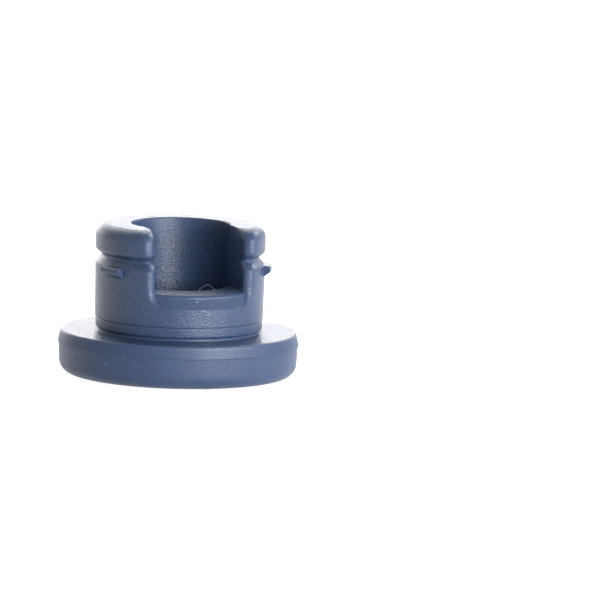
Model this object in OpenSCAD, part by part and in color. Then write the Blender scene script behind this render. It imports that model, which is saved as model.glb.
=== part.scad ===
// Freeze-drying vial stopper, 20 mm size: a moulded rubber closure with one broad vent through
// the side of its hollow plug. It stands on its flange, plug upwards. The origin is the middle of
// the surface it stands on, +Z runs up the plug, and the vent opens towards -Y.

/* [Flange] */
// Diameter over the rim, at its widest
flange_d = 19.0; // [18:0.1:20]
// Thickness, from the needle target face to the sealing face
flange_t = 3.45; // [3:0.05:4.2]
// Rounding of the rim into the target face
rim_round = 1.05; // [0.4:0.05:1.4]
// Rounding of the rim into the sealing face
seal_round = 0.16; // [0.05:0.01:0.4]
// Height of the mould's parting line above the target face
rim_parting = 2.47; // [2:0.01:2.8]
// Step by which the rim overhangs below its parting line
rim_step = 0.07; // [0.02:0.01:0.2]
// Draft of the rim above its parting line, in degrees
rim_draft_top = 11; // [0:1:15]
// Draft of the rim below its parting line, in degrees
rim_draft_low = 2.5; // [0:0.5:6]

/* [Target face] */
// Height of the raised marks that the stopper stands on
mark_h = 0.18; // [0.1:0.01:0.4]
// Width of a mark at the face
mark_base_w = 0.8; // [0.6:0.05:1.2]
// Width of the flat crest of a mark
mark_crest_w = 0.34; // [0.2:0.02:0.5]
// Number of radial bars
bar_count = 4; // [2:1:6]
// Distance from the axis to the inner end of a bar
bar_start = 4.15; // [3.4:0.05:5]
// Length of a bar
bar_len = 3.5; // [2:0.1:3.8]
// Radius of the broken ring, at its crest
ring_r = 1.75; // [1.4:0.05:2.2]
// Width of each of the two gaps in the ring, in degrees
ring_gap = 34; // [20:2:60]

/* [Plug] */
// Diameter of the plug just below the groove
plug_d = 13.36; // [12.8:0.02:13.6]
// Taper of the plug's wall from there down to its parting line, in degrees
plug_draft = 0.8; // [0:0.1:2]
// Height of the whole plug above the sealing face
plug_h = 8.45; // [7.8:0.05:9.5]
// Height of the foot band, up to the plug's parting line
foot_h = 1.02; // [0.7:0.02:1.4]
// Amount by which the foot band is set in
foot_inset = 0.06; // [0.02:0.01:0.1]
// Rounding under the foot band, where it meets the sealing face
foot_round = 0.22; // [0.1:0.02:0.3]
// Depth to which the sealing face is dished round the foot
relief_depth = 0.05; // [0.02:0.01:0.1]
// Depth of the fine line at the plug's parting
line_depth = 0.1; // [0.02:0.01:0.1]
// Distance by which the sealing bead at the top stands out from the plug below the groove
bead_out = 0.01; // [0:0.01:0.15]
// Height of the straight band of the bead
bead_h = 0.92; // [0.6:0.02:1.2]
// Rounding of the bead into the top face
bead_round = 0.95; // [0.5:0.05:1.2]
// Rounding of the bead's lower edge
bead_edge_round = 0.3; // [0.1:0.02:0.4]
// Lean of the bead's underside from the plug's axis, in degrees
bead_lean = 50; // [35:1:60]
// Depth of the groove under the bead
groove_depth = 0.48; // [0.4:0.02:0.6]
// Rounding at the bottom of the groove
groove_round = 0.12; // [0.05:0.01:0.2]
// Lean of the shoulder under the groove from the plug's axis, in degrees
shoulder_lean = 40; // [30:1:60]
// Rounding of the shoulder into the plug's wall
shoulder_round = 0.12; // [0.04:0.01:0.3]

/* [Cavity] */
// Diameter of the cavity's mouth
mouth_d = 7.86; // [7:0.02:8.2]
// Draft of the cavity's wall, in degrees
cavity_draft = 3.8; // [1:0.1:4.5]
// Thickness of the piercing web, from the target face to the cavity's floor
web_t = 2.5; // [2:0.1:3.2]
// Rounding at the edge of the cavity's floor
floor_round = 0.8; // [0.3:0.05:1.2]
// Rounding of the mouth's edge
mouth_round = 0.12; // [0.05:0.01:0.3]

/* [Vent] */
// Width of the vent at its sill
vent_w = 7.1; // [6:0.05:7.2]
// Draft of each side wall of the vent, in degrees
vent_draft = 1.2; // [0:0.1:3]
// Height of the sill above the sealing face
sill_h = 3.6; // [3:0.05:4.2]
// Rounding of the sill's outer edge
sill_round = 0.32; // [0.1:0.01:0.4]
// Height of the sloped apron below the sill
apron_h = 1.15; // [0.8:0.05:1.5]
// Depth of the apron under the sill's edge
apron_depth = 0.4; // [0.2:0.02:0.6]
// Radius of the vent's lower corners
vent_corner_r = 1.5; // [1:0.1:2]
// Rounding of the vent's upright edges through the bead
edge_round_bead = 0.64; // [0.3:0.02:0.7]
// Rounding of the vent's upright edges from the groove down
edge_round_low = 0.54; // [0.3:0.02:0.6]

/* [Lugs] */
// Number of stand-off lugs under the groove
lug_count = 3; // [2:1:4]
// Angle between the middle of the vent and the lugs beside it
lug_angle = 69; // [58:0.5:80]
// Length of a lug round the plug, in degrees
lug_span = 16.5; // [10:0.5:20]
// Height of the middle of the lugs above the sealing face
lug_level = 4.98; // [4.2:0.02:5]
// Height of a lug at the plug's wall
lug_h = 0.88; // [0.6:0.02:1]
// Distance by which a lug stands out from the plug
lug_out = 0.55; // [0.3:0.01:0.8]
// Rounding of a lug's outer edge
lug_round = 0.33; // [0.2:0.01:0.4]

/* [Hidden] */
$fn = 96;
rubber = [0.27, 0.36, 0.52];
flange_r = flange_d / 2;
plug_r = plug_d / 2;
bead_r = plug_r + bead_out;
groove_r = plug_r - groove_depth;
mouth_r = mouth_d / 2;
// Levels, from the surface that the marks stand on
face_z = mark_h;
parting_z = face_z + rim_parting;
seal_z = face_z + flange_t;
foot_z = seal_z + foot_h;
top_z = seal_z + plug_h;
bead_top_z = top_z - bead_round;
bead_low_z = bead_top_z - bead_h;
// The bead's underside starts where its lower rounding ends
under_z = bead_low_z - bead_edge_round * sin(bead_lean);
under_r = bead_r - bead_edge_round * (1 - cos(bead_lean));
groove_top_z = under_z - (under_r - groove_r - groove_round * (1 - cos(bead_lean))) / tan(bead_lean);
neck_z = groove_top_z - groove_round * sin(bead_lean);
shoulder_fall = groove_depth - (groove_round + shoulder_round) * (1 - cos(shoulder_lean));
shoulder_z = neck_z - (groove_round + shoulder_round) * sin(shoulder_lean) - shoulder_fall / tan(shoulder_lean);
sill_z = seal_z + sill_h;
apron_z = sill_z - apron_h;
floor_z = face_z + web_t;
lug_z = seal_z + lug_level;
foot_r = wall_r(foot_z) - foot_inset;
foot_in_r = foot_r - foot_round;
// The relief reaches a little past the bead, so that the sealing face is clear of the plug
relief_r = bead_r + 0.06;
// The round bottom of the vent reaches a little below the apron's lower line
vent_bottom_z = apron_z - 0.15;
// Marks and lugs are rooted this deep in the body
root = 0.1;
mark_root_w = mark_base_w + root * (mark_base_w - mark_crest_w) / mark_h;
// A cut goes this far past the faces that it opens
past = 1;
// The vent's rounded edges leave the plug's skin on a tangent of this length and lean
way_out = 3;
way_lean = 8;
// Steps of the rounded corners
arc_steps = 9;
small_steps = 8;
corner_steps = 9;
edge_steps = 14;
lug_steps = 12;
// A lug is bevelled below, from this angle of its outer rounding
lug_lean = 37;

// Points of an arc about (x, z), from one angle to another
function arc(x, z, r, from, to, steps = arc_steps) =
    [for (i = [0:steps]) let (a = from + (to - from) * i / steps) [x + r * cos(a), z + r * sin(a)]];

// Radius of the plug's wall at a height below the groove
function wall_r(z) = plug_r - (shoulder_z - z) * tan(plug_draft);

// Points of the plug's skin, from its wall over shoulder, groove and bead to the top face
skin = concat(
    arc(plug_r - shoulder_round, shoulder_z, shoulder_round, 0, shoulder_lean, small_steps),
    arc(groove_r + groove_round, neck_z, groove_round, 180 + shoulder_lean, 180 - bead_lean, small_steps),
    arc(bead_r - bead_edge_round, bead_low_z, bead_edge_round, -bead_lean, 0, small_steps),
    arc(bead_r - bead_round, bead_top_z, bead_round, 0, 90)
);
skin_levels = [for (p = skin) p.y];

// Radius of the plug at a height
function skin_r(z) = z < skin_levels[0] ? wall_r(z) : lookup(z, [for (p = skin) [p.y, p.x]]);

// Radius of the cavity's wall at a height
function cavity_r(z) = mouth_r - (top_z - z) * tan(cavity_draft);

// Half width of the vent at a height, with its round lower corners
function vent_half(z) =
    let (
        wall = vent_w / 2 + (z - sill_z) * tan(vent_draft),
        fall = max(0, vent_bottom_z + vent_corner_r - z)
    )
    wall - vent_corner_r + sqrt(max(0, pow(vent_corner_r, 2) - pow(fall, 2)));

// Turn of each lug from the middle of the vent: one each side, the rest spread over the back
function lug_turn(i) =
    i < 2 ? (i == 0 ? 1 : -1) * lug_angle : lug_angle + (i - 1) * (360 - 2 * lug_angle) / (lug_count - 1);

// Half of the flange's section, from the axis out to the rim and back over the sealing face
function flange_outline() =
    let (
        low_r = flange_r - rim_step - (rim_parting - rim_round) * tan(rim_draft_low),
        high_r = flange_r - (seal_z - parting_z) * tan(rim_draft_top)
    )
    concat(
        [[0, face_z]],
        arc(low_r - rim_round, face_z + rim_round, rim_round, -90, 0),
        [[flange_r - rim_step, parting_z - rim_step / 2], [flange_r, parting_z]],
        arc(high_r - seal_round, seal_z - seal_round, seal_round, rim_draft_top, 90, small_steps),
        [[relief_r, seal_z], [foot_in_r, seal_z - relief_depth], [0, seal_z - relief_depth]]
    );

// Half of the plug's section, from the axis along its root and up to the top face
function plug_outline() =
    let (
        low_r = wall_r(foot_z),
        dish_z = seal_z - relief_depth
    )
    concat(
        [[0, dish_z - past], [foot_in_r, dish_z - past]],
        arc(foot_in_r, dish_z + 2 * foot_round, foot_round, -90, 0, small_steps),
        [
            [foot_r, foot_z - line_depth], [low_r - line_depth, foot_z], [low_r, foot_z + line_depth / 2]
        ],
        skin,
        [[0, top_z]]
    );

// Half of the cavity's section, drafted, with a round edge at its floor and a soft mouth
function cavity_outline() =
    let (
        floor_r = cavity_r(floor_z + floor_round),
        lip_r = cavity_r(top_z - mouth_round)
    )
    concat(
        [[0, floor_z]],
        arc(floor_r - floor_round, floor_z + floor_round, floor_round, -90, 0),
        [for (i = [0:small_steps]) let (a = 90 * i / small_steps)
            [lip_r + mouth_round * (1 - cos(a)), top_z - mouth_round * (1 - sin(a))]],
        [[lip_r + mouth_round, top_z + past], [0, top_z + past]]
    );

// One raised bar on the target face, along +X, with sloped flanks and tapered round ends
module bar() {
    half = bar_len / 2 - mark_base_w / 2;
    translate([bar_start + bar_len / 2, 0, 0]) {
        rotate([90, 0, 90])
            translate([0, 0, -half])
                linear_extrude(2 * half) mark_section();
        for (side = [-1, 1])
            translate([side * half, 0, 0])
                cylinder(h = face_z + root, r1 = mark_crest_w / 2, r2 = mark_root_w / 2);
    }
}

// Section of a mark, crest down
module mark_section() {
    polygon([
        [-mark_crest_w / 2, 0], [mark_crest_w / 2, 0],
        [mark_root_w / 2, face_z + root], [-mark_root_w / 2, face_z + root]
    ]);
}

// The broken ring in the middle of the target face
module ring() {
    for (side = [0, 180])
        rotate([0, 0, side + ring_gap / 2])
            rotate_extrude(angle = 180 - ring_gap)
                translate([ring_r, 0]) mark_section();
}

// One stand-off lug, centred on -Y, round on top, bevelled below and with flat ends
module lug() {
    rotate([0, 0, -90 - lug_span / 2])
        rotate_extrude(angle = lug_span)
            translate([wall_r(lug_z), lug_z])
                polygon(concat(
                    [[-root, -lug_h / 2], [0, -lug_h / 2]],
                    arc(lug_out - lug_round, lug_h / 2 - lug_round, lug_round, -lug_lean, 90, lug_steps),
                    [[-root, lug_h / 2]]
                ));
}

// Right side of a level slice through the vent: side wall, rounded upright edge, way out
function vent_side(z) =
    let (
        r = z > bead_low_z - bead_edge_round ? edge_round_bead : edge_round_low,
        x = vent_half(z) + r,
        y = -sqrt(pow(skin_r(z) - r, 2) - pow(x, 2)),
        out = 360 + atan2(y, x) - way_lean
    )
    concat(
        [[x - r, 0, z]],
        [for (i = [0:edge_steps]) let (a = 180 + (out - 180) * i / edge_steps)
            [x + r * cos(a), y + r * sin(a), z]],
        [[x + r * cos(out) - way_out * sin(out), y + r * sin(out) + way_out * cos(out), z]],
        [[flange_r, -flange_r, z]]
    );

// The whole level slice, counter-clockwise
function vent_slice(z) =
    let (side = vent_side(z), last = len(side) - 1)
    concat([for (p = side) [-p.x, p.y, p.z]], [for (i = [last:-1:0]) side[i]]);

// Solid through stacked level slices of as many points each
module stack(slices) {
    n = len(slices[0]);
    top = len(slices) - 1;
    polyhedron(
        points = [for (s = slices) each s],
        faces = concat(
            [[for (i = [0:n - 1]) i]],
            [for (k = [0:top - 1]) for (i = [0:n - 1])
                let (a = k * n + i, b = k * n + (i + 1) % n)
                each [[a, b + n, b], [a, a + n, b + n]]],
            [[for (i = [n - 1:-1:0]) top * n + i]]
        ),
        convexity = 6
    );
}

// What stays below the vent: the sill, its rounded edge and the sloped apron under it
module sill() {
    edge_r = wall_r(apron_z) - apron_depth;
    slope = apron_depth / (apron_h - sill_round);
    rotate_extrude()
        polygon(concat(
            [[0, apron_z - past], [wall_r(apron_z) + slope * past, apron_z - past]],
            arc(edge_r - sill_round, sill_z - sill_round, sill_round, 0, 90, small_steps),
            [[0, sill_z]]
        ));
}

// The vent, cut from the outside right into the cavity
module vent() {
    lower = [for (i = [0:corner_steps]) vent_bottom_z + vent_corner_r * (1 - cos(90 * i / corner_steps))];
    levels = concat(lower, skin_levels, [top_z + past]);
    difference() {
        stack([for (z = levels) vent_slice(z)]);
        sill();
    }
}

// The whole closure, one moulding
module stopper() {
    color(rubber) {
        difference() {
            union() {
                rotate_extrude() polygon(flange_outline());
                rotate_extrude() polygon(plug_outline());
            }
            rotate_extrude() polygon(cavity_outline());
            vent();
        }
        for (i = [0:lug_count - 1])
            rotate([0, 0, lug_turn(i)]) lug();
        for (i = [0:bar_count - 1])
            rotate([0, 0, 90 + 360 * i / bar_count]) bar();
        ring();
    }
}

stopper();
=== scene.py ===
import math

import bpy
from mathutils import Matrix, Vector


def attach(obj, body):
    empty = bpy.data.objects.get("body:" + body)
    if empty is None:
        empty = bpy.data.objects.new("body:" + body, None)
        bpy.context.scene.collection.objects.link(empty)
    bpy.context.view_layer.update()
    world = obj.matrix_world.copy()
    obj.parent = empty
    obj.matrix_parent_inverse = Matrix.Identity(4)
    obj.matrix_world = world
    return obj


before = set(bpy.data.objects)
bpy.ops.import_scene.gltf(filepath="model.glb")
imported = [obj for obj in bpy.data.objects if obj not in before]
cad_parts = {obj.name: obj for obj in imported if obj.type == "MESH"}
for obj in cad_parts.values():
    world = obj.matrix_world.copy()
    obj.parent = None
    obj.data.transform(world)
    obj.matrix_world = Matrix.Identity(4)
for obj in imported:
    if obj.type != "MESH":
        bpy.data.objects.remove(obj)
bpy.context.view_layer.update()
mm = 0.001
bpy.ops.object.select_all(action="DESELECT")


class Wire:
    # One output of a shader node, so that a pattern can be written as a sum
    def __init__(self, tree, socket):
        self.tree = tree
        self.socket = socket

    def node(self, kind, inputs=None, output=0, **settings):
        made = self.tree.nodes.new(kind)
        for name, value in settings.items():
            setattr(made, name, value)
        for name, value in (inputs or {}).items():
            if isinstance(value, Wire):
                self.tree.links.new(value.socket, made.inputs[name])
            else:
                made.inputs[name].default_value = value
        return Wire(self.tree, made.outputs[output])

    def maths(self, operation, *values):
        return self.node("ShaderNodeMath", dict(enumerate(values)), operation=operation)

    def vector(self, operation, inputs):
        return self.node("ShaderNodeVectorMath", inputs, operation=operation)

    def __add__(self, other):
        return self.maths("ADD", self, other)

    def __mul__(self, other):
        return self.maths("MULTIPLY", self, other)

    def __rsub__(self, other):
        return self.maths("SUBTRACT", other, self)

    # Zero up to the low value, one from the high value, and even between them
    def rise(self, low, high):
        return self.node("ShaderNodeMapRange", {"Value": self, "From Min": low, "From Max": high})

    def mix(self, first, second):
        return self.node("ShaderNodeMix", {0: self, 6: first, 7: second}, output=2, data_type="RGBA")

    def noise(self, size, detail, output=0):
        return self.node("ShaderNodeTexNoise", {"Vector": self, "Scale": 1 / size, "Detail": detail}, output)

    def axis(self, number):
        return self.node("ShaderNodeSeparateXYZ", {0: self}, number)


def newMaterial(name):
    made = bpy.data.materials.new(name)
    made.use_nodes = True
    made.node_tree.nodes.clear()
    place = made.node_tree.nodes.new("ShaderNodeTexCoord").outputs["Object"]
    return made, Wire(made.node_tree, place)


def finishMaterial(made, surface):
    out = made.node_tree.nodes.new("ShaderNodeOutputMaterial")
    made.node_tree.links.new(surface.socket, out.inputs["Surface"])


# Rubber: slate blue and satin, finely grained from the mould with painted shade in the grain's pits, calmer
# on the rim and pebbled on level faces
rubber = {
    "blue": (0.046, 0.077, 0.163, 1),
    "deepBlue": (0.041, 0.070, 0.151, 1),
    "mottleSize": 2.5 * mm,
    "mottleRange": (0.3, 0.7),
    "fleckSize": 0.14 * mm,
    "fleckStrength": (1.4, 0.95, 0.75),
    # how much darker the grain's low points are painted: a painted shade in the pits
    "pitShade": 0.7,
    "roughness": 0.31,
    "rimRoughness": 0.44,
    "refraction": 1.45,
    "rimTop": (3.3 * mm, 3.5 * mm),
    "rimGrain": 0.3,
    "grainSize": 0.115 * mm,
    "grainHeight": 0.043 * mm,
    "pebbleSize": 0.24 * mm,
    "pebbleShare": 1.5,
    "levelFacing": (0.85, 0.97),
    "edgeRound": 0.09 * mm,
    "ventRound": 0.34 * mm,
    "ventSide": (2.9 * mm, 3.5 * mm),
    "ventFarSide": (5.2 * mm, 5.8 * mm),
    "ventBack": (-3.5 * mm, -3 * mm),
    "ventFoot": (7.2 * mm, 7.8 * mm),
    "bevelSamples": 6,
}


def rubberColor(place, grain):
    mottle = place.noise(rubber["mottleSize"], 2.0)
    fleck = place.noise(rubber["fleckSize"], 1.0, output=1)
    strength = rubber["fleckStrength"]
    lift = tuple(1 - k / 2 for k in strength)  # keeps the flecks' average at one
    shade = fleck.vector("MULTIPLY_ADD", {0: fleck, 1: strength, 2: lift})
    # The grain's low points are painted darker: painted shade in the hollows of the grain, not a colour of
    # the rubber
    paintedPitShade = grain * rubber["pitShade"] + (1 - rubber["pitShade"] / 2)
    shade = shade.vector("SCALE", {0: shade, "Scale": paintedPitShade})
    color = mottle.rise(*rubber["mottleRange"]).mix(rubber["blue"], rubber["deepBlue"])
    return color.vector("MULTIPLY", {0: color, 1: shade})


# The grain stands over edges that are softened a little, and more along the vent's two uprights
def rubberNormal(place, grain, body):
    side, depth, height = (place.axis(k) for k in range(3))
    side = side.maths("ABSOLUTE", side)
    uprights = side.rise(*rubber["ventSide"]) * (1 - side.rise(*rubber["ventFarSide"]))
    uprights = uprights * (1 - depth.rise(*rubber["ventBack"])) * height.rise(*rubber["ventFoot"])
    radius = uprights * rubber["ventRound"] + rubber["edgeRound"]
    edges = place.node("ShaderNodeBevel", {"Radius": radius}, samples=rubber["bevelSamples"])
    facing = place.node("ShaderNodeNewGeometry", output=1)
    level = facing.axis(2).rise(*rubber["levelFacing"])
    pebbles = place.noise(rubber["pebbleSize"], 1.0) * level * rubber["pebbleShare"]
    relief = grain * (body * (1 - rubber["rimGrain"]) + rubber["rimGrain"]) + pebbles
    return place.node("ShaderNodeBump", {
        "Height": relief,
        "Distance": rubber["grainHeight"],
        "Strength": 1.0,
        "Normal": edges,
    })


def makeRubber():
    made, place = newMaterial("stopperRubber")
    grain = place.noise(rubber["grainSize"], 1.0)
    body = place.axis(2).rise(*rubber["rimTop"])  # one on all that stands above the rim
    surface = place.node("ShaderNodeBsdfPrincipled", {
        "Base Color": rubberColor(place, grain),
        "Roughness": rubber["rimRoughness"] - body * (rubber["rimRoughness"] - rubber["roughness"]),
        "IOR": rubber["refraction"],
        "Normal": rubberNormal(place, grain, body),
    })
    finishMaterial(made, surface)
    return made


stopperDressing = {"weld": 0.0002 * mm, "splitAngle": 13, "normalWeight": 80}


def dressStopper(node):
    for slot in node.material_slots:
        slot.material = makeRubber()
    weld = node.modifiers.new("weld", "WELD")
    weld.merge_threshold = stopperDressing["weld"]
    split = node.modifiers.new("split", "EDGE_SPLIT")
    split.split_angle = math.radians(stopperDressing["splitAngle"])
    normals = node.modifiers.new("normals", "WEIGHTED_NORMAL")
    normals.weight = stopperDressing["normalWeight"]
    normals.keep_sharp = True
    for face in node.data.polygons:
        face.use_smooth = True


dressStopper(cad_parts["stopper"])
print("stopper dressed")


# Lint: a fine pale fibre looped behind the sill, and a crumb on the apron and on the flange, in millimetres
lint = {
    "loop": [
        (0.48, -3.57, 7.08), (0.48, -3.40, 7.24), (0.52, -3.38, 7.32),
        (0.72, -3.40, 7.45), (1.01, -3.47, 7.64), (1.12, -3.50, 7.69),
        (1.22, -3.54, 7.66), (1.45, -3.64, 7.47), (1.71, -3.76, 7.24),
    ],
    "apronCrumb": [(-0.76, -6.32, 6.69), (-0.66, -6.312, 6.725), (-0.57, -6.308, 6.757)],
    "flangeCrumb": [(-7.69, -5.42, 1.88), (-7.70, -5.43, 1.94), (-7.69, -5.42, 1.99)],
    "loopThickness": 0.032,
    "crumbThickness": 0.055,
    "loopColor": (0.2, 0.24, 0.31, 1),
    "crumbColor": (0.42, 0.48, 0.6, 1),
    "patchSize": 0.3,
    "patchShade": 0.8,
    "roughness": 0.6,
}


def makeLint(name, color):
    made, place = newMaterial(name)
    darker = tuple(lint["patchShade"] * part for part in color[:3]) + (1,)
    shade = place.noise(lint["patchSize"] * mm, 2.0).mix(color, darker)
    look = {"Base Color": shade, "Roughness": lint["roughness"]}
    finishMaterial(made, place.node("ShaderNodeBsdfPrincipled", look))
    return made


# A single vertex is drawn out along the route at a thousand times its size, given a skin, and shrunk
def makeFibre(name, route, thickness, material):
    bpy.ops.mesh.primitive_plane_add(size=1, location=route[0])
    fibre = bpy.context.object
    fibre.name = name
    bpy.ops.object.transform_apply(location=True)
    bpy.ops.object.mode_set(mode="EDIT")
    bpy.ops.mesh.select_all(action="SELECT")
    bpy.ops.mesh.merge(type="CENTER")
    for start, end in zip(route, route[1:]):
        step = Vector(end) - Vector(start)
        bpy.ops.mesh.extrude_region_move(TRANSFORM_OT_translate={"value": step})
    bpy.ops.object.mode_set(mode="OBJECT")
    bpy.ops.object.modifier_add(type="SKIN")
    for point in fibre.data.skin_vertices[0].data:
        point.radius = (thickness / 2,) * 2
    bpy.ops.object.modifier_add(type="SUBSURF")
    for modifier in list(fibre.modifiers):
        bpy.ops.object.modifier_apply(modifier=modifier.name)
    bpy.ops.object.mode_set(mode="EDIT")
    bpy.ops.mesh.select_all(action="SELECT")
    bpy.ops.transform.resize(value=(mm, mm, mm), center_override=(0, 0, 0))
    bpy.ops.mesh.normals_make_consistent(inside=False)
    bpy.ops.object.mode_set(mode="OBJECT")
    fibre.data.materials.append(material)
    bpy.ops.object.select_all(action="DESELECT")
    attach(fibre, "root")


makeFibre("loop", lint["loop"], lint["loopThickness"], makeLint("fibreLint", lint["loopColor"]))
crumbLint = makeLint("paleLint", lint["crumbColor"])
for name in ("apronCrumb", "flangeCrumb"):
    makeFibre(name, lint[name], lint["crumbThickness"], crumbLint)
print("lint laid")


# One where a ray comes from the camera, a mirroring or a clear piece, and zero where it only lights
def seenRays(tree):
    path = tree.nodes.new("ShaderNodeLightPath")
    rays = ("Is Camera Ray", "Is Glossy Ray", "Is Transmission Ray")
    camera, glossy, through = (Wire(tree, path.outputs[ray]) for ray in rays)
    return camera.maths("MAXIMUM", camera.maths("MAXIMUM", camera, glossy), through)


# Floor: plain and pale, white where it is seen or mirrored, and it keeps a faint shadow
floorLook = {"size": 1.6, "sides": 64, "color": (0.86, 0.86, 0.86, 1), "white": 0.93}


def makeFloor():
    made, place = newMaterial("paleFloor")
    plain = place.node("ShaderNodeBsdfDiffuse", {"Color": floorLook["color"]})
    white = place.node("ShaderNodeEmission", {"Color": (1, 1, 1, 1), "Strength": floorLook["white"]})
    both = place.node("ShaderNodeAddShader", {0: plain, 1: white})
    finishMaterial(made, place.node("ShaderNodeMixShader", {0: seenRays(place.tree), 1: plain, 2: both}))
    bpy.ops.mesh.primitive_circle_add(
        vertices=floorLook["sides"], radius=floorLook["size"], fill_type="NGON", location=(0, 0, 0))
    floor = bpy.context.object
    floor.name = "floor"
    floor.data.materials.append(made)


makeFloor()
print("floor made")


# World: white where it is seen or mirrored, and dim where it only lights
worldLook = {"dim": 0.06}


def makeWorld():
    world = bpy.data.worlds.new("studio")
    bpy.context.scene.world = world
    world.use_nodes = True
    tree = world.node_tree
    tree.nodes.clear()
    light = seenRays(tree) * (1 - worldLook["dim"]) + worldLook["dim"]
    white = light.node("ShaderNodeBackground", {"Color": (1, 1, 1, 1), "Strength": light})
    out = tree.nodes.new("ShaderNodeOutputWorld")
    tree.links.new(white.socket, out.inputs["Surface"])


makeWorld()
print("world made")


# Azimuth 0 is in front of the vent and 90 at its right, both angles in degrees
def direction(azimuth, elevation):
    a, e = math.radians(azimuth), math.radians(elevation)
    return Vector((math.sin(a) * math.cos(e), -math.cos(a) * math.cos(e), math.sin(e)))


# Lamps: all at one distance, with their width and height in degrees as the stopper sees them
lamps = {
    "keyLamp": {"azimuth": 29, "elevation": 8, "width": 74, "height": 15, "radiance": 6.6},
    "keyCore": {"azimuth": 17, "elevation": 8, "width": 30, "height": 15, "radiance": 16},
    "lowBackLamp": {"azimuth": 173, "elevation": 7, "width": 44, "height": 12, "radiance": 3.9},
    "highBackLamp": {"azimuth": 172, "elevation": 38, "width": 44, "height": 20, "radiance": 4.2},
    "sideLamp": {"azimuth": 122, "elevation": 33, "width": 15, "height": 14, "radiance": 16},
}
lampDistance = 0.6


def addLamp(name, look):
    lamp = bpy.data.lights.new(name, "AREA")
    lamp.shape = "RECTANGLE"
    lamp.size, lamp.size_y = (
        2 * lampDistance * math.tan(math.radians(look[span] / 2)) for span in ("width", "height"))
    lamp.energy = look["radiance"] * math.pi * lamp.size * lamp.size_y
    away = direction(look["azimuth"], look["elevation"])
    made = bpy.data.objects.new(name, lamp)
    made.location = away * lampDistance
    made.rotation_euler = away.to_track_quat("Z", "Y").to_euler()
    made.visible_camera = False
    bpy.context.scene.collection.objects.link(made)


for name, look in lamps.items():
    addLamp(name, look)
print("lamps placed")


# Camera: a long lens from slightly above, held a little askew, that shows the aim at the aim pixel
cameraPlace = {
    "azimuth": -18.5,
    "elevation": 8.2,
    "roll": 1.45,
    "distance": 500 * mm,
    "aim": (0, 0, 2.65 * mm),
    "aimPixel": (178.2, 342.1),
    "pixelsPerMetre": 12690,
    "frame": 600,
    "sensor": 36,
    "nearest": 10 * mm,
}


def makeCamera():
    focal = cameraPlace["pixelsPerMetre"] * cameraPlace["distance"]
    middle = cameraPlace["frame"] / 2
    across, down = cameraPlace["aimPixel"]
    back = direction(cameraPlace["azimuth"], cameraPlace["elevation"])
    roll = Matrix.Rotation(math.radians(cameraPlace["roll"]), 3, "Z")
    turn = (-back).to_track_quat("-Z", "Y").to_matrix() @ roll
    toAim = Vector(((across - middle) / focal, (middle - down) / focal, -1))
    turn = turn @ Vector((0, 0, -1)).rotation_difference(toAim).to_matrix().inverted()
    view = bpy.data.cameras.new("camera")
    view.sensor_width = cameraPlace["sensor"]
    view.lens = focal / cameraPlace["frame"] * view.sensor_width
    view.clip_start = cameraPlace["nearest"]
    made = bpy.data.objects.new("camera", view)
    bpy.context.scene.collection.objects.link(made)
    made.rotation_mode = "QUATERNION"
    made.location = Vector(cameraPlace["aim"]) + back * cameraPlace["distance"]
    made.rotation_quaternion = turn.to_quaternion()
    bpy.context.scene.camera = made


makeCamera()
bpy.context.scene.view_settings.view_transform = "Standard"
print("camera placed")
